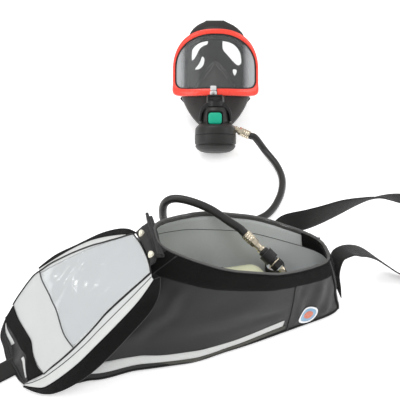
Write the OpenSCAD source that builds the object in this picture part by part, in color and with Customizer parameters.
// Compressed-air escape set: carrying bag with cylinder, reducer, hose,
// demand valve and full-face mask. Millimetres, +Z up, origin at the middle
// of the bag's base on the floor, +X towards the cylinder valve, -Y the front.

/* [Bag] */
// Length of the bag at its base
bag_len = 520; // [500:5:540]
// Width of the bag at its base
bag_w = 178; // [172:2:184]
// Height of the rim at the hinge end
rim_hi = 208; // [204:1:212]
// Height of the rim at the valve end
rim_lo = 124; // [118:1:130]
// Thickness of the bag skin
skin_t = 2.5; // [2:0.1:2.5]
// Depth of the hook-and-loop band round the rim
band_h = 32; // [26:1:36]

/* [Lid] */
// Slope of the open lid below the horizontal, degrees
lid_slope = 40.4; // [40:0.1:41]
// Thickness of the lid board
lid_t = 3; // [2:0.1:3]
// Width of the front lid flap
flap_front_w = 50; // [40:1:52]
// Width of the rear lid flap
flap_rear_w = 38; // [30:1:40]
// Width of the end lid flap
flap_end_w = 45; // [36:1:46]

/* [Cylinder] */
// Radius of the air cylinder
cyl_r = 46; // [44:1:46]
// Height of the cylinder axis over the floor
cyl_z = 54; // [54:0.5:56]
// Wall of the air cylinder
cyl_wall = 3.5; // [3:0.25:5]

/* [Hose] */
// Radius of the medium-pressure hose
hose_r = 7; // [6:0.1:7.2]
// Width of the carrying webbing
web_w = 38; // [32:1:40]
// Thickness of the carrying webbing
web_t = 2; // [1.6:0.1:2.4]

/* [Mask] */
// Half width of the visor frame
vis_a = 87; // [85:1:88]
// Depth of the visor curve at its side edge
vis_bow = 32; // [28:1:34]
// Lean of the mask from upright, degrees
mask_lean = 38; // [37:0.5:39]
// Turn of the mask about the vertical, degrees
mask_turn = 12; // [10:0.5:14]

/* [Demand valve] */
// Radius of the demand valve body
ldv_r = 42; // [41:0.5:43]
// Travel of the bypass button
button_travel = 3; // [2:0.5:3]

/* [Hidden] */
$fn = 48;

// Radial gaps between mating parts
fit = 0.05;
loose_fit = 0.1;

// ---------- helpers ----------
function signed_pow(v, power) = sign(v) * pow(abs(v), power);
function smooth_step(from, to, x) =
  let (t = min(1, max(0, (x - from) / (to - from)))) t * t * (3 - 2 * t);
function unit(v) = v / max(norm(v), 1e-9);
function mix(from, to, t) = from + (to - from) * t;
function reversed(list) = [for (i = [len(list) - 1:-1:0]) list[i]];

// Catmull-Rom point between b and c
function catmull_rom(a, b, c, d, t) = 0.5 * ((2 * b) + (c - a) * t
  + (2 * a - 5 * b + 4 * c - d) * t * t + (3 * b - a - 3 * c + d) * t * t * t);
function spline(knots, steps) = let (last = len(knots) - 1) concat(
  [for (i = [0:last - 1]) for (k = [0:steps - 1])
    catmull_rom(knots[max(i - 1, 0)], knots[i], knots[i + 1], knots[min(i + 2, last)], k / steps)],
  [knots[last]]);
function tangents(path) = let (last = len(path) - 1)
  [for (i = [0:last]) unit(path[min(i + 1, last)] - path[max(i - 1, 0)])];

// Skin over a list of rings of equal length. Open ends are capped, or the
// last ring joins the first when closed is true. cap lists the faces of the
// first ring's cap, repeated on the last ring; by default it is one face.
module loft(rings, closed = false, cap = undef) {
  count = len(rings);
  size = len(rings[0]);
  sides = [for (i = [0:closed ? count - 1 : count - 2]) for (j = [0:size - 1])
    let (row = i * size, next_row = (i + 1) % count * size, next = (j + 1) % size)
      each [[row + j, next_row + j, next_row + next], [row + j, next_row + next, row + next]]];
  cap_faces = is_undef(cap) ? [[for (j = [0:size - 1]) j]] : cap;
  caps = closed ? [] : [for (face = cap_faces)
    each [face, [for (j = reversed(face)) (count - 1) * size + j]]];
  polyhedron(points = [for (ring = rings) each ring], faces = concat(sides, caps), convexity = 10);
}

// Round bar along a path; its section frame is carried along without twist
module tube_path(path, radius, sides = 16) {
  along = tangents(path);
  last = len(path) - 1;
  first_side = unit(cross(along[0], abs(along[0][2]) < 0.9 ? [0, 0, 1] : [1, 0, 0]));
  side = [for (i = 0, v = first_side; i <= last;
    v = unit(v - (v * along[min(i + 1, last)]) * along[min(i + 1, last)]), i = i + 1) v];
  loft([for (i = [0:last]) let (up = cross(along[i], side[i]))
    [for (j = [0:sides - 1]) let (a = 360 * j / sides)
      path[i] + radius * (cos(a) * side[i] + sin(a) * up)]]);
}

// Flat webbing along a path; facing gives the face direction at each point
module band_path(path, facing, width, thick) {
  along = tangents(path);
  loft([for (i = [0:len(path) - 1])
    let (across = unit(cross(facing[i], along[i])), half_w = across * width / 2,
      half_t = cross(along[i], across) * thick / 2)
    [path[i] - half_w - half_t, path[i] + half_w - half_t,
     path[i] + half_w + half_t, path[i] - half_w + half_t]]);
}

// Cylinder standing on height z of the current frame
module rod(z, radius, length) translate([0, 0, z]) cylinder(r = radius, h = length);
module box(corner, size) translate(corner) cube(size);

// ---------- frames ----------
// Line the lid turns about. Lid frame: x away from the hinge, y along it,
// -z is the lining side
hinge_at = [-68, 0, 214];
module at_lid() translate(hinge_at) rotate([0, 180 - lid_slope, 0]) children();

// Quick coupling frame, z from the hose towards the outlet elbow
coupling_at = [124.5, -4.6, 140];
coupling_tilt = 122.5;
coupling_turn = -43.85;
coupling_dir = [sin(coupling_tilt) * cos(coupling_turn),
  sin(coupling_tilt) * sin(coupling_turn), cos(coupling_tilt)];
elbow_reach = 48;
function coupling_pt(z) = coupling_at + z * coupling_dir;
elbow_at = coupling_pt(elbow_reach);
module at_coupling() translate(coupling_at) rotate([0, coupling_tilt, coupling_turn]) children();

// Mask frame: x across, +y from the visor to the back of the harness, z up the face
mask_at = [168.6, 572.3, 131];
module at_mask() translate(mask_at) rotate([-mask_lean, 0, -mask_turn]) children();
function mask_pt(p) =
  let (y = p[1] * cos(mask_lean) + p[2] * sin(mask_lean),
    z = -p[1] * sin(mask_lean) + p[2] * cos(mask_lean))
  mask_at + [p[0] * cos(mask_turn) + y * sin(mask_turn),
    -p[0] * sin(mask_turn) + y * cos(mask_turn), z];

// Demand valve axis, in the mask frame
ldv_at = [-1, -24, 0];
module at_ldv() at_mask() translate(ldv_at) children();

// Hose inlet of the demand valve, z outwards, dipping below the mask's x axis
inlet_at = [38.6, ldv_at[1], -112];
inlet_dip = 24.2;
module at_inlet() at_mask() translate(inlet_at) rotate([0, 90 + inlet_dip, 0]) children();
function inlet_pt(z) = mask_pt(inlet_at + z * [cos(inlet_dip), 0, -sin(inlet_dip)]);

// ---------- bag wall ----------
// Points on the wall are given by an angle about Z, 0 at the valve end,
// a height and an outward offset
rim_mid_x = 87;
rim_half_len = 149;
wall_bulge = 5;
// Height below which the hinge end does not lean in
end_upright = 34;
WALL_SIDES = 96;
// Heights of the wall rings as parts of the height up to the rim band
LEVELS = [0, 0.12, 0.2, 0.35, 0.5, 0.65, 0.82, 1];
BAND_LEVEL = len(LEVELS) - 1;
RIM_LEVEL = len(LEVELS);

function base_pt(angle) = let (x = bag_len / 2 * signed_pow(cos(angle), 2 / 3.6))
  [x, bag_w / 2 * signed_pow(sin(angle), 2 / 3.6) * (1 - 0.45 * smooth_step(-20, 240, x))];
function rim_half_w(x) = 57 + 22 * smooth_step(-62, 60, x) - 22 * smooth_step(110, 230, x);
function rim_pt(angle) = let (x = rim_mid_x + rim_half_len * signed_pow(cos(angle), 2 / 3))
  [x, rim_half_w(x) * signed_pow(sin(angle), 2 / 3)];
function rim_z(angle) = let (from_hinge_end = rim_pt(angle)[0] - rim_mid_x + rim_half_len)
  rim_hi - (rim_hi - rim_lo) * from_hinge_end / (2 * rim_half_len);
// 0 over most of the length, 1 at the hinge end of the base
function hinge_part(angle) = smooth_step(40, 240, -base_pt(angle)[0]);

// Plan point before bulge and offset
function flat_wall(angle, z) =
  let (base = base_pt(angle), rim = rim_pt(angle), top = rim_z(angle), rise = z / top,
    part = hinge_part(angle),
    lean = (1 - part) * rise + part * max(0, (z - end_upright) / (top - end_upright)))
  [mix(base[0], rim[0], lean), mix(base[1], rim[1], rise)];
function wall_normal(angle, z) =
  let (along = flat_wall(angle + 0.6, z) - flat_wall(angle - 0.6, z)) unit([along[1], -along[0]]);
function wall(angle, z, offset) =
  let (rise = min(1, max(0, z / rim_z(angle))),
    bulge = wall_bulge * (1 - hinge_part(angle)) * sin(180 * rise),
    p = flat_wall(angle, z) + wall_normal(angle, z) * (offset + bulge))
  [p[0], p[1], z];

function level_z(angle, level, low = 0) = level == RIM_LEVEL ? rim_z(angle)
  : max(low, LEVELS[level] * (rim_z(angle) - band_h));
function wall_ring(level, offset, low = 0, lift = 0) = [for (i = [0:WALL_SIDES - 1])
  let (angle = 360 * i / WALL_SIDES)
  wall(angle, level_z(angle, level, low), offset) + [0, 0, lift]];
// Rings up the outer face and down the inner face of a layer
function layer_rings(outer, outer_low, inner, inner_low) = concat(
  [for (k = [0:RIM_LEVEL]) wall_ring(k, outer, outer_low)],
  [for (k = [RIM_LEVEL:-1:0]) wall_ring(k, inner, inner_low)]);

// Sheet following the wall between two angles; it covers the rim band
// unless low and high are given
module wall_patch(from, to, steps, inner, outer, low = undef, high = undef)
  loft([for (i = [0:steps])
    let (angle = mix(from, to, i / steps),
      z0 = is_undef(low) ? level_z(angle, BAND_LEVEL) : low,
      z1 = is_undef(high) ? rim_z(angle) : high)
    [wall(angle, z0, inner), wall(angle, z1, inner),
     wall(angle, z1, outer), wall(angle, z0, outer)]]);

module bag_shell() {
  color([0.16, 0.17, 0.17]) loft(layer_rings(0, 0, -skin_t, skin_t));
}
// Open-bottomed layer inside the skin
module bag_lining() {
  low = skin_t + 0.1;
  color([0.62, 0.64, 0.64])
    loft(layer_rings(-skin_t - 0.65, low, -skin_t - 2.15, low), true);
}
// Folded edge tape sewn over skin and lining
module rim_binding() {
  // [outward offset, height over the rim]
  section = [[1.2, 0.1], [1.6, 1.6], [0.4, 3], [-4.6, 3], [-5.9, 1.6], [-5.5, 0.1]];
  color([0.07, 0.07, 0.07])
    loft([for (p = section) wall_ring(RIM_LEVEL, p[0], 0, p[1])], true);
}
module rim_tape() {
  color([0.05, 0.05, 0.05]) wall_patch(-150, 150, 80, 0.1, 1.9);
}
module end_tape_inner() {
  color([0.04, 0.04, 0.04]) wall_patch(-26.25, 26.25, 14, -skin_t - 3.8, -skin_t - 2.3);
}
stripe_from = 70;
stripe_to = 154;
module stripe(from, to) wall_patch(from, to, 42, 0.9, 1.6, 16, 29);
module front_stripe() {
  color([0.75, 0.76, 0.76]) stripe(360 - stripe_to, 360 - stripe_from);
}
module rear_stripe() {
  color([0.75, 0.76, 0.76]) stripe(stripe_from, stripe_to);
}
board_z = skin_t + 0.2;
board_t = 3;
module base_board() {
  color([0.25, 0.25, 0.25])
    loft([for (z = [board_z, board_z + board_t]) wall_ring(0, -skin_t - 3, 0, z)]);
}
// Round badge on the front wall
module badge_disc() {
  // [part of the radius, outward offset]
  rings = [[0.03, 0.6], [0.5, 0.6], [1, 0.6], [1, 1.2], [0.5, 1.2], [0.03, 1.2]];
  half_angle = 7.8;
  half_h = 19;
  color([0.85, 0.85, 0.88])
    loft([for (r = rings) [for (a = [0:15:345])
      wall(306 + half_angle * r[0] * cos(a), 27 + half_h * r[0] * sin(a), r[1])]]);
}
// Rolled edge along the hinge line, with a slanting strip below it
module hinge_hem() {
  color([0.08, 0.08, 0.08]) union() {
    translate(hinge_at + [0, 52, 0]) rotate([90, 0, 0]) cylinder(r = 2.6, h = 104);
    translate(hinge_at + [-1.2, -50, -2.2]) rotate([0, 45, 0]) box([0, 0, -1], [6.2, 100, 2]);
  }
}

// ---------- cylinder group ----------
valve_x = 154;
// Bars on the cylinder's axis, and on the reducer's axis across it
module x_rod(x, radius, length)
  translate([x, 0, cyl_z]) rotate([0, 90, 0]) cylinder(r = radius, h = length);
module y_rod(y, radius, length)
  translate([valve_x, y, cyl_z]) rotate([-90, 0, 0]) cylinder(r = radius, h = length);

cradle_w = 92;
module cradle_block(x0, x1) {
  difference() {
    box([x0, -cradle_w / 2, board_z + board_t + 0.1], [x1 - x0, cradle_w, 30]);
    x_rod(x0 - 1, cyl_r + loose_fit, x1 - x0 + 2, $fn = 96);
  }
}
module cylinder_cradle() {
  color([0.12, 0.12, 0.12]) {
    cradle_block(-84, -34);
    cradle_block(-24, 14);
  }
}

// Turned profile of the cylinder as [radius, x]
dome_x = -140;
neck_r = 18;
neck_end_x = 140;
shank_r = 12.5;
shoulder_rise = 28;
function dome(radius) = [for (a = [9:9:90]) [radius * sin(a), dome_x - radius * cos(a)]];
function shoulder(wide, narrow, x, rise) =
  [for (a = [0:11.25:90]) [narrow + (wide - narrow) * cos(a), x + rise * sin(a)]];
module air_cylinder() {
  inner_r = cyl_r - cyl_wall;
  outer = concat([[0, dome_x - cyl_r]], dome(cyl_r),
    shoulder(cyl_r, neck_r, 104, shoulder_rise), [[neck_r, neck_end_x]]);
  inner = concat([[shank_r + fit, neck_end_x], [shank_r + fit, 120]],
    reversed(shoulder(inner_r, 12.6, 102, shoulder_rise - cyl_wall)),
    reversed(dome(inner_r)), [[0, dome_x - inner_r]]);
  color([0.84, 0.85, 0.68]) translate([0, 0, cyl_z]) rotate([0, 90, 0])
    rotate_extrude($fn = 96) polygon(concat(outer, inner));
}
module cylinder_straps() {
  strap_w = 38;
  color([0.06, 0.06, 0.06]) for (x = [-126, 22]) difference() {
    x_rod(x, cyl_r + 1.6, strap_w, $fn = 96);
    x_rod(x - 1, cyl_r + loose_fit, strap_w + 2, $fn = 96);
  }
}

spindle_r = 4;
reducer_neck_r = 7;
gauge_y = 34;
module valve_body() {
  color([0.72, 0.70, 0.62]) difference() {
    union() {
      x_rod(122, shank_r, 19);
      x_rod(140.2, 17, 31.8);
      x_rod(172, 10, 6);
      // Branch to the gauge
      y_rod(10, 6, gauge_y - 10);
      translate([valve_x, gauge_y, cyl_z]) sphere(r = 6.8);
      translate([valve_x, gauge_y, cyl_z]) cylinder(r = 4.5, h = 10);
    }
    x_rod(150, spindle_r + fit, 40);
    x_rod(121, 3, 20);
    y_rod(-30, reducer_neck_r + fit, 23);
  }
}
module valve_spindle() {
  color([0.75, 0.75, 0.76]) x_rod(151, spindle_r, 35);
}
module valve_handwheel() {
  color([0.08, 0.08, 0.08]) difference() {
    union() {
      x_rod(180, 17, 18);
      // Grip ribs round the edge
      for (a = [22.5:45:337.5]) translate([181, 0, cyl_z]) rotate([a, 0, 0])
        translate([0, 0, 16]) rotate([0, 90, 0]) cylinder(r = 4, h = 16);
    }
    x_rod(179, spindle_r + fit, 7.1);
  }
}

// Pressure gauge on the valve's rear port
gauge_at = [valve_x, gauge_y, cyl_z + 10.1];
gauge_bore_r = 15;
needle_pin_r = 1;
module gauge_case() {
  color([0.1, 0.1, 0.1]) translate(gauge_at) difference() {
    cylinder(r = 17, h = 12);
    rod(2.5, gauge_bore_r, 10);
  }
}
module gauge_dial() {
  color([0.92, 0.92, 0.9]) translate(gauge_at) difference() {
    rod(2.6, gauge_bore_r - 0.1, 1.2);
    rod(1.6, needle_pin_r + fit, 4);
  }
}
module gauge_needle() {
  color([0.7, 0.1, 0.08]) translate(gauge_at) union() {
    rod(2.7, needle_pin_r, 3);
    box([-9.5, -0.5, 5], [12, 1, 0.7]);
  }
}
module gauge_lens() {
  color([0.8, 0.9, 0.92, 0.35]) translate(gauge_at) rod(8.5, gauge_bore_r - fit, 2);
}

// Pressure reducer, axis along Y, with its outlet straight below the elbow
reducer_bore_r = 11;
piston_rod_r = 3.5;
outlet_bore_r = 5;
module outlet_rod(above_axis, radius, length)
  translate([elbow_at[0], elbow_at[1], cyl_z + above_axis]) cylinder(r = radius, h = length);
module reducer_body() {
  color([0.7, 0.7, 0.66]) difference() {
    union() {
      y_rod(-49, 19, 31);
      y_rod(-19, reducer_neck_r, 11.8);
    }
    y_rod(-50, reducer_bore_r, 27);
    y_rod(-24, 2.5, 20);
    outlet_rod(5, 4, 20);
    outlet_rod(13, outlet_bore_r, 10);
  }
}
module reducer_piston() {
  color([0.75, 0.72, 0.5]) union() {
    y_rod(-30, reducer_bore_r - fit, 4.5);
    y_rod(-44, piston_rod_r, 14);
  }
}
module reducer_spring() {
  turns = 6;
  steps = 12;
  coil_r = 7.4;
  spring_len = 12;
  color([0.6, 0.6, 0.62]) tube_path([for (i = [0:turns * steps]) let (a = 360 * i / steps)
    [valve_x + coil_r * cos(a), -43.6 + spring_len * i / (turns * steps),
     cyl_z + coil_r * sin(a)]], 0.9, 6);
}
module reducer_cap() {
  color([0.62, 0.62, 0.6]) difference() {
    union() {
      y_rod(-52.5, 18, 3.4);
      y_rod(-50, reducer_bore_r - fit, 5);
    }
    y_rod(-48, piston_rod_r + 0.1, 5);
  }
}

// ---------- quick coupling ----------
elbow_r = 6.2;
plug_r = 5;
socket_r = 9;
module outlet_elbow() {
  leg_start = 34.2;
  color([0.72, 0.72, 0.7]) union() {
    outlet_rod(13.3, outlet_bore_r - fit, 7);
    outlet_rod(19.3, elbow_r, elbow_at[2] - cyl_z - 19.3);
    translate(elbow_at) sphere(r = 7.2);
    at_coupling() rod(leg_start, elbow_r, elbow_reach - leg_start);
  }
}
module coupling_socket() {
  color([0.08, 0.08, 0.08]) at_coupling() difference() {
    union() {
      rod(-6, socket_r, 30);
      rod(24, 11, 10, $fn = 6);
    }
    rod(-7, plug_r + fit, 17);
    rod(9, 3, 26);
  }
}
module coupling_sleeve() {
  color([0.06, 0.06, 0.06]) at_coupling() difference() {
    union() {
      cylinder(r = 12, h = 17);
      for (z = [2:3:14]) rod(z, 12.6, 1.4);
    }
    rod(-1, socket_r + fit, 19);
  }
}
module hose_plug() {
  color([0.72, 0.66, 0.5]) at_coupling() difference() {
    union() {
      rod(-30, 7.6, 9, $fn = 6);
      rod(-21, 5.6, 10);
      rod(-11.5, 7.4, 4.8);
      rod(-11, plug_r, 19);
    }
    rod(-31, 2.5, 41);
  }
}
ferrule_r = 8.8;
module hose_ferrule_lower() {
  color([0.74, 0.68, 0.52]) at_coupling() difference() {
    rod(-46, ferrule_r, 15.8);
    rod(-47, hose_r + loose_fit, 15);
  }
}

// ---------- hose ----------
// Knots from the coupling over the bag's rear rim and along the floor to the mask
hose_knots = [coupling_pt(-33), coupling_pt(-52), coupling_pt(-60),
  [74, 40, 180], [44, 62, 196], [13, 79, 205], [-12, 91, 205], [-26, 101, 190],
  [-28, 112, 160], [-20, 130, 116], [2, 160, 62], [44, 190, 26], [98, 216, 10],
  [152, 234, 8.5], [201, 255, 8.5], [236, 300, 8.5], [256, 352, 8.5], [258, 402, 9],
  [244, 446, 18], inlet_pt(46), inlet_pt(34), inlet_pt(20)];
module hose() {
  color([0.18, 0.18, 0.17]) tube_path(spline(hose_knots, 6), hose_r);
}
inlet_tail_r = 4;
module hose_ferrule_upper() {
  color([0.74, 0.68, 0.52]) at_inlet() difference() {
    union() {
      rod(17, ferrule_r, 15);
      rod(9, 7.6, 8.5, $fn = 6);
      rod(4, 6.2, 5.5);
    }
    rod(19.8, hose_r + loose_fit, 20);
    rod(3, inlet_tail_r + fit, 12);
    rod(14, 2.5, 10);
  }
}

// ---------- webbing ----------
// Knots of the neck strap, and the direction its face looks at each knot
neck_knots = [[150, 79.5, 86], [170, 93, 92], [193, 112.3, 96], [235, 118.6, 97],
  [265, 129.3, 94], [299, 146.5, 88], [324, 159.4, 82], [348, 172.3, 75], [370, 184.2, 68],
  [394, 195.7, 60], [415, 202.4, 52], [449, 209.8, 39], [478, 209.8, 29], [508, 202, 21],
  [535, 184, 20.5], [550, 154, 20.8], [542, 118, 20.8], [508, 78, 20], [460, 38, 14],
  [411.7, 21, 12], [388.5, 30.1, 15], [369.8, 44.5, 24], [352.6, 52.8, 36], [336, 52, 52],
  [317.8, 45, 68], [297.8, 32, 84], [279, 17, 94], [268, 7, 88], [263.6, 2, 68],
  [262.8, 0, 44], [262.6, 0, 24]];
neck_facing = [[0.15, -0.98, 0.1], [0.15, -0.96, 0.25], [0.13, -0.91, 0.39], [0.23, -0.93, 0.27],
  [0.41, -0.91, 0.1], [0.44, -0.9, -0.08], [0.39, -0.88, -0.27], [0.31, -0.83, -0.47],
  [0.19, -0.77, -0.61], [-0.02, -0.64, -0.77], [-0.23, -0.41, -0.88], [-0.34, -0.08, -0.94],
  [-0.33, 0.05, -0.94], [-0.45, -0.1, -0.88], [-0.85, -0.4, -0.3], [-1, 0, -0.1],
  [-0.85, 0.5, -0.15], [-0.6, 0.6, -0.5], [-0.4, 0.2, -0.9], [-0.3, -0.5, -0.81],
  [-0.45, -0.46, -0.76], [-0.6, -0.34, -0.72], [-0.6, -0.3, -0.74], [-0.5, -0.2, -0.84],
  [-0.4, -0.1, -0.9], [-0.2, 0, -0.98], [0.2, 0, -0.98], [0.8, 0.1, -0.6], [1, 0, -0.1],
  [1, 0, 0], [1, 0, 0]];
module neck_strap() {
  color([0.09, 0.09, 0.09])
    band_path(spline(neck_knots, 4), spline(neck_facing, 4), web_w, web_t);
}
waist_knots = [[-262.8, -26, 12], [-284, -34, 9], [-320, -48, 4], [-360, -66, 3],
  [-400, -86, 3], [-430, -101, 3]];
waist_facing = [[-0.3, 0, 1], [-0.3, 0, 1], [0, 0, 1], [0, 0, 1], [0, 0, 1], [0, 0, 1]];
module waist_strap() {
  color([0.09, 0.09, 0.09])
    band_path(spline(waist_knots, 5), spline(waist_facing, 5), web_w, web_t);
}
// Two-slot buckle on the waist strap, hollow where the webbing passes
module strap_slider() {
  color([0.06, 0.06, 0.06]) translate([-410, -91, 0.4]) rotate([0, 0, 26.5]) difference() {
    box([-9, -25, 0], [18, 50, 6]);
    box([-7, -21, 0.8], [14, 42, 4.2]);
    box([-10, -20.5, 1.0], [20, 41, 3.4]);
    for (x = [-6, 2]) box([x, -20, -1], [4, 40, 8]);
  }
}

// ---------- lid ----------
// Outlines as [x, y] in the lid frame
lid_outline = [[4, -66], [14, -81], [24, -83], [262, -109], [271, -100], [274, -43], [279, 3],
  [292, 66], [292, 92], [282, 103], [234, 113], [148, 80], [84, 53], [36, 33], [12, 24], [4, 20]];
pocket_outline = [[34, -80], [190, -98], [206, -38], [218, 31], [230, 106], [146, 75],
  [84, 49], [34, 28]];
stud_places = [[18, 8], [12, -46]];
stud_pin_r = 2;

// Sheet whose outer face lies at depth past the board's lining face
module lid_sheet(depth, thick, outline)
  at_lid() translate([0, 0, -lid_t / 2 - depth]) linear_extrude(thick) polygon(outline);
module lid_panel() {
  color([0.13, 0.13, 0.13]) lid_sheet(0, lid_t, lid_outline);
}
module lid_lining() {
  shrink = 0.985;
  color([0.82, 0.83, 0.84])
    lid_sheet(0.9, 0.8, [for (p = lid_outline) [p[0] * shrink + 1.5, p[1] * shrink]]);
}
module clear_pocket() {
  color([0.9, 0.93, 0.95, 0.35]) lid_sheet(1.8, 0.8, pocket_outline);
}
module hinge_tab() {
  color([0.16, 0.16, 0.16]) at_lid() difference() {
    box([6, -62, -lid_t / 2 - 2.4], [24, 84, 1.4]);
    for (p = stud_places) translate([p[0], p[1], -6]) cylinder(r = stud_pin_r + fit, h = 8);
  }
}
module snap_studs() {
  color([0.86, 0.84, 0.74]) at_lid() for (p = stud_places)
    translate([p[0], p[1], -lid_t / 2]) {
      rod(-4.4, 6, 1.9);
      rod(-4.4, stud_pin_r, 3.3);
    }
}

// Trapezoid from depth near to depth far on the -y side; the insets are
// [at the start, at the end] of the length
function trapezoid(length, near, far, near_insets, far_insets) =
  [[near_insets[0], -near], [far_insets[0], -far],
   [length - far_insets[1], -far], [length - near_insets[1], -near]];
// Flap hinged on the line from start to end, with a strip on its inner face
// over strip_depths; a negative droop turns it to the lid's outer side
module lid_flap(start, end, width, droop, insets, strip_insets, strip_depths) {
  edge = end - start;
  length = norm(edge);
  at_lid() translate([start[0], start[1], 0]) rotate([0, 0, atan2(edge[1], edge[0])])
    rotate([droop, 0, 0]) union() {
      translate([0, 0, -1]) linear_extrude(2)
        polygon(trapezoid(length, 1, width, [0, 0], insets));
      translate([0, 0, -2.2]) linear_extrude(1.3)
        polygon(trapezoid(length, strip_depths[0], strip_depths[1], strip_insets, insets));
    }
}
// Side flap: the strip covers its outer half
module side_flap(start, end, width, droop, insets)
  lid_flap(start, end, width, droop, insets, 0.55 * insets, [width / 2, width]);
module lid_flap_front() {
  color([0.1, 0.1, 0.1]) side_flap([18, -85.5], [262, -112], flap_front_w, -50, [24, 6]);
}
module lid_flap_rear() {
  color([0.1, 0.1, 0.1]) side_flap([234, 116], [32, 34.5], flap_rear_w, -8, [20, 12]);
}
module lid_flap_end() {
  color([0.1, 0.1, 0.1])
    lid_flap([276, -84], [302, 84], flap_end_w, 18, [14, 14], [8, 8], [6, 30]);
}

// ---------- demand valve ----------
spigot_r = 14;
stem_r = 5;
stem_flange_r = 7.2;
// Bypass button: middle of its front face in the mask frame, and its size
button_at = [-2, -56, -91];
button_size = [29, 10, 25];
button_corner = 5;
button_gap = 0.6;

// Turned profiles as [radius, z] about the valve axis
housing_profile = [[9, -50], [13.4, -50], [spigot_r, -50.6], [spigot_r, -54.8], [12, -54.8],
  [12, -57.2], [spigot_r, -57.2], [spigot_r, -68], [18, -68], [22, -70], [24.5, -76],
  [26, -84], [27, -92], [27.2, -98.8], [30.5, -101], [35.5, -105], [38.8, -108.5],
  [ldv_r - 1.8, -113], [ldv_r - 1.8, -117.5], [ldv_r - 2.6, -120], [ldv_r - 2.6, -124.5],
  [35, -124.5], [35, -112], [20, -100], [11, -94], [9, -90]];
cover_profile = [[0, -161.5], [20, -161], [31, -158.4], [37.5, -154], [ldv_r - 1.2, -148],
  [ldv_r, -140], [ldv_r, -132], [ldv_r - 0.8, -127], [ldv_r - 2, -124.8], [35.2, -124.8],
  [38, -131], [38, -140], [37, -146.5], [33, -151], [20, -156.5], [0, -157.5]];

module ldv_housing() {
  window_w = button_size[0] + 2 * button_gap;
  window_h = button_size[2] + 2 * button_gap;
  color([0.2, 0.2, 0.19]) difference() {
    at_ldv() rotate_extrude($fn = 72) polygon(housing_profile);
    at_mask() box(button_at - [window_w / 2, 6, window_h / 2],
      [window_w, 16.1 + button_travel, window_h]);
    at_inlet() rod(-19, stem_r + fit, 27);
    at_inlet() rod(0.35, stem_flange_r + 0.2, 12);
  }
}
module inlet_stem() {
  color([0.72, 0.66, 0.5]) at_inlet() difference() {
    union() {
      rod(-7.5, stem_r, 8);
      rod(0.4, stem_flange_r, 3);
      rod(0.4, inlet_tail_r, 14);
    }
    rod(-8, 1.8, 24);
  }
}
module ldv_cover() {
  color([0.15, 0.15, 0.14]) at_ldv() rotate_extrude($fn = 72) polygon(cover_profile);
}
plate_r = 15;
lever_x = -2.4;
module ldv_diaphragm() {
  color([0.3, 0.3, 0.3]) at_ldv() translate([0, 0, -123.8]) difference() {
    cylinder(r = 34.5, h = 1, $fn = 72);
    rod(-1, plate_r + 0.1, 3);
  }
}
module ldv_plate() {
  color([0.7, 0.7, 0.7]) at_ldv() union() {
    rod(-124.3, plate_r, 2);
    translate([lever_x, 0, -122.8]) cylinder(r = 4, h = 2.65);
  }
}
module ldv_lever() {
  color([0.75, 0.75, 0.75]) at_ldv() union() {
    box([11, -1.5, -116.5], [2, 3, 9]);
    box([-4, -1.5, -117.2], [17, 3, 1.4]);
    translate([12, 6, -108]) rotate([90, 0, 0]) cylinder(r = 1.5, h = 12);
    translate([lever_x, 2, -118.6]) rotate([90, 0, 0]) cylinder(r = 1.5, h = 4);
  }
}
module ldv_poppet() {
  color([0.8, 0.7, 0.4]) at_inlet() translate([0, 0, -14]) union() {
    cylinder(r = 4.6, h = 3);
    rod(-4, 1.5, 4.5);
  }
}
// Rounded block: two crossed boxes and four corner posts
module ldv_button() {
  half_w = button_size[0] / 2;
  half_h = button_size[2] / 2;
  post_x = half_w - button_corner;
  post_z = half_h - button_corner;
  color([0.02, 0.6, 0.42]) at_mask() translate(button_at) union() {
    box([-post_x, 0, -half_h], [2 * post_x, button_size[1], 2 * half_h]);
    box([-half_w, 0, -post_z], [2 * half_w, button_size[1], 2 * post_z]);
    for (x = [-post_x, post_x], z = [-post_z, post_z])
      translate([x, 0, z]) rotate([-90, 0, 0]) cylinder(r = button_corner, h = button_size[1]);
  }
}
module ldv_seal_ring() {
  color([0.05, 0.05, 0.05]) at_ldv() translate([0, 0, -56])
    rotate_extrude($fn = 48) translate([13, 0]) circle(r = 0.95, $fn = 16);
}

// ---------- mask ----------
// Half width at which the visor curve is vis_bow deep
bow_half_w = 87;
// Height of the ovals' centre
oval_z = 10;
FACE_ANGLES = [for (i = [0:63]) -360 * (i + 0.5) / 64];

function bow_y(x) = vis_bow * pow(x / bow_half_w, 2);
function oval(t, half_w, half_h, power) =
  1 / pow(pow(abs(cos(t)) / half_w, power) + pow(abs(sin(t)) / half_h, power), 1 / power);
// Point on the visor frame, inset from its edge and shifted by dy
function frame_pt(t, inset, dy) =
  let (up = sin(t) >= 0,
    r = oval(t, vis_a - inset, (up ? 85 : 52) - inset, up ? 2.4 : 6), x = r * cos(t))
  [x, bow_y(x) + dy, oval_z + r * sin(t)];
// Point on the face blank's edge, scaled and shifted by dy
function face_pt(t, scaling, dy) =
  let (up = sin(t) >= 0, r = oval(t, 80, up ? 101 : 126, up ? 2.1 : 1.8) * scaling,
    x = r * cos(t), z = oval_z + r * sin(t))
  [x, 13.5 + 0.0042 * x * x + 0.0012 * z * z + dy, z];
function frame_ring(inset, dy) = [for (t = FACE_ANGLES) frame_pt(t, inset, dy)];
function face_ring(scaling, dy) = [for (t = FACE_ANGLES) face_pt(t, scaling, dy)];

// Bar along the breathing port's axis
module port_rod(y, radius, length) at_mask() translate([ldv_at[0], y, -59])
  rotate([-90, 0, 0]) cylinder(r = radius, h = length);

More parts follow.
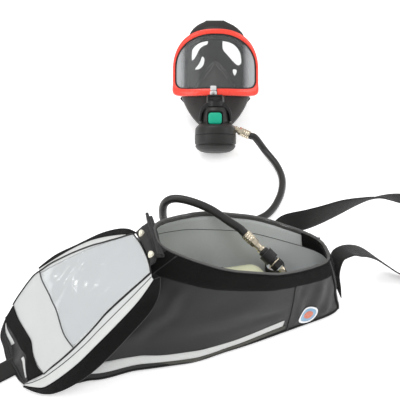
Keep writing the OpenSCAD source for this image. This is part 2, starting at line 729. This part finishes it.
module face_blank() {
  color([0.2, 0.19, 0.19]) difference() {
    at_mask() loft([frame_ring(4, 3.3), frame_ring(4, 8.6), frame_ring(14.5, 8.6),
      frame_ring(14.5, 12.6), face_ring(0.97, 0), face_ring(1, 14), face_ring(0.97, 30),
      face_ring(0.86, 38), face_ring(0.83, 35), face_ring(0.93, 27), face_ring(0.955, 13),
      face_ring(0.92, 3), frame_ring(18.5, 14), frame_ring(18.5, 3.3)], true);
    port_rod(0, 10.6, 40);
  }
}
module visor() {
  scales = [0.02, 0.25, 0.5, 0.75, 1];
  mid_z = 5;
  function visor_ring(scaling, dy) = [for (p = frame_ring(3.6, 0)) let (x = p[0] * scaling)
    [x, bow_y(x) + dy, mid_z + (p[2] - mid_z) * scaling]];
  color([0.75, 0.8, 0.82, 0.3]) at_mask() loft(concat(
    [for (s = scales) visor_ring(s, 0)], [for (s = reversed(scales)) visor_ring(s, 2.4)]));
}
// Channel section band round the visor, its two ends meet under the clip
module visor_frame() {
  steps = 72;
  function section(t) = let (lip = mix(9, 13, smooth_step(-5, -25, t < 90 ? t : 180 - t)))
    [frame_pt(t, 0, -3), frame_pt(t, 0, 11.5), frame_pt(t, lip, 11.5), frame_pt(t, lip, 9),
     frame_pt(t, 3, 9), frame_pt(t, 3, -0.6), frame_pt(t, lip, -0.6), frame_pt(t, lip, -3)];
  // The section is concave, so its ends are closed with triangles
  cap = [[1, 2, 3], [1, 3, 4], [0, 1, 4], [0, 4, 5], [0, 5, 6], [0, 6, 7]];
  color([0.85, 0.14, 0.08]) at_mask()
    loft([for (i = [0:steps]) section(mix(-86.5, 266.5, i / steps))], cap = cap);
}
module frame_clip() {
  color([0.85, 0.85, 0.85]) at_mask() union() {
    box([-12, -6.2, -43], [14, 3, 20]);
    box([-12, -6.2, -45.6], [14, 9, 3]);
    translate([-5, -8, -36]) rotate([-90, 0, 0]) cylinder(r = 3.2, h = 3);
  }
}
// Rings of the inner mask as [centre z, half width, half height, y]
inner_mask_rings = [[-58, 11, 10, 17], [-48, 24, 26, 17.5], [-40, 33, 38, 27], [-38, 38, 45, 42],
  [-38, 36, 43, 42.5], [-40, 31, 36, 28.5], [-48, 22, 24, 19.6], [-58, 9, 8, 19]];
module inner_mask() {
  function cup_ring(s) = [for (i = [0:35]) let (t = -10 * i)
    [s[1] * signed_pow(cos(t), 0.9), s[3] + 0.004 * pow(s[1] * cos(t), 2),
     s[0] + s[2] * signed_pow(sin(t), 0.9)]];
  color([0.16, 0.15, 0.15]) at_mask() translate([0, 9, 0])
    loft([for (s = inner_mask_rings) cup_ring(s)], true);
}
// Chin connector: socket for the demand valve and breathing port
port_r = 8;
module connector_housing() {
  function arch(half_w, z, rise) = [for (t = [0:7.5:180])
    [ldv_at[0] + half_w * signed_pow(cos(t), 0.75), z + rise * signed_pow(sin(t), 0.75)]];
  color([0.05, 0.05, 0.05]) difference() {
    union() {
      at_ldv() rod(-67.6, 18.5, 21.1);
      port_rod(ldv_at[1], 10.5, 46);
      at_mask() box([-18, -44, -56.5], [32, 14, 12.5]);
      at_mask() translate([0, -13, 0]) rotate([90, 0, 0]) linear_extrude(22) difference() {
        polygon(arch(33.5, -98, 42));
        polygon(arch(28.2, -98.1, 30));
      }
    }
    at_ldv() rod(-68, spigot_r + fit, 19);
    port_rod(ldv_at[1], 6.5, 40);
    port_rod(14, port_r, 10);
    at_mask() box([-15, -45, -54.5], [26, 2, 6]);
    at_ldv() rod(-104, 27.6, 36.3);
  }
}
module breathing_disc() {
  color([0.5, 0.5, 0.48]) port_rod(14 + fit, port_r - fit, 1.5);
}

// Angles of the five head straps round the face edge
strap_angles = [90, 28, 152, -42, 222];
function lug(t) = face_pt(t, t < 0 || t > 180 ? 0.84 : 0.93, 46);
module harness_buckles() {
  color([0.3, 0.3, 0.3]) at_mask() for (t = strap_angles)
    translate(lug(t)) rotate([0, 90 - t, 0]) difference() {
      box([-12, -1, -6], [24, 5, 12]);
      box([-9.5, -3, -2], [19, 10, 4.2]);
    }
}
// Straps from the buckles to an oval pad behind the head
module head_harness() {
  pad_at = [0, 178, 22];
  function spoke(t, x, y, z) = [x * cos(t), y, z * sin(t)];
  function strap_line(t) =
    let (start = lug(t) + [0, 4.4, 0], end = pad_at + spoke(t, 24, -4, 18))
    spline([start, mix(start, end, 0.35) + spoke(t, 26, 22, 22),
      mix(start, end, 0.72) + spoke(t, 20, 22, 16), end], 6);
  color([0.12, 0.12, 0.12]) at_mask() union() {
    for (t = strap_angles) let (path = strap_line(t))
      band_path(path, [for (i = [0:len(path) - 1]) spoke(t, 1 - i / 30, i / 14, 1 - i / 30)],
        17, 1.8);
    translate(pad_at) rotate([-90, 0, 0]) scale([1, 0.8, 1]) cylinder(r = 36, h = 2.4);
  }
}

bag_shell();
bag_lining();
rim_binding();
rim_tape();
end_tape_inner();
front_stripe();
rear_stripe();
base_board();
badge_disc();
hinge_hem();
cylinder_cradle();
air_cylinder();
cylinder_straps();
valve_body();
valve_spindle();
valve_handwheel();
gauge_case();
gauge_dial();
gauge_needle();
gauge_lens();
reducer_body();
reducer_piston();
reducer_spring();
reducer_cap();
outlet_elbow();
coupling_socket();
coupling_sleeve();
hose_plug();
hose_ferrule_lower();
hose();
hose_ferrule_upper();
neck_strap();
waist_strap();
strap_slider();
lid_panel();
lid_lining();
clear_pocket();
hinge_tab();
snap_studs();
lid_flap_front();
lid_flap_rear();
lid_flap_end();
inlet_stem();
ldv_housing();
ldv_cover();
ldv_diaphragm();
ldv_plate();
ldv_lever();
ldv_poppet();
ldv_button();
ldv_seal_ring();
connector_housing();
breathing_disc();
face_blank();
visor();
visor_frame();
frame_clip();
inner_mask();
head_harness();
harness_buckles();
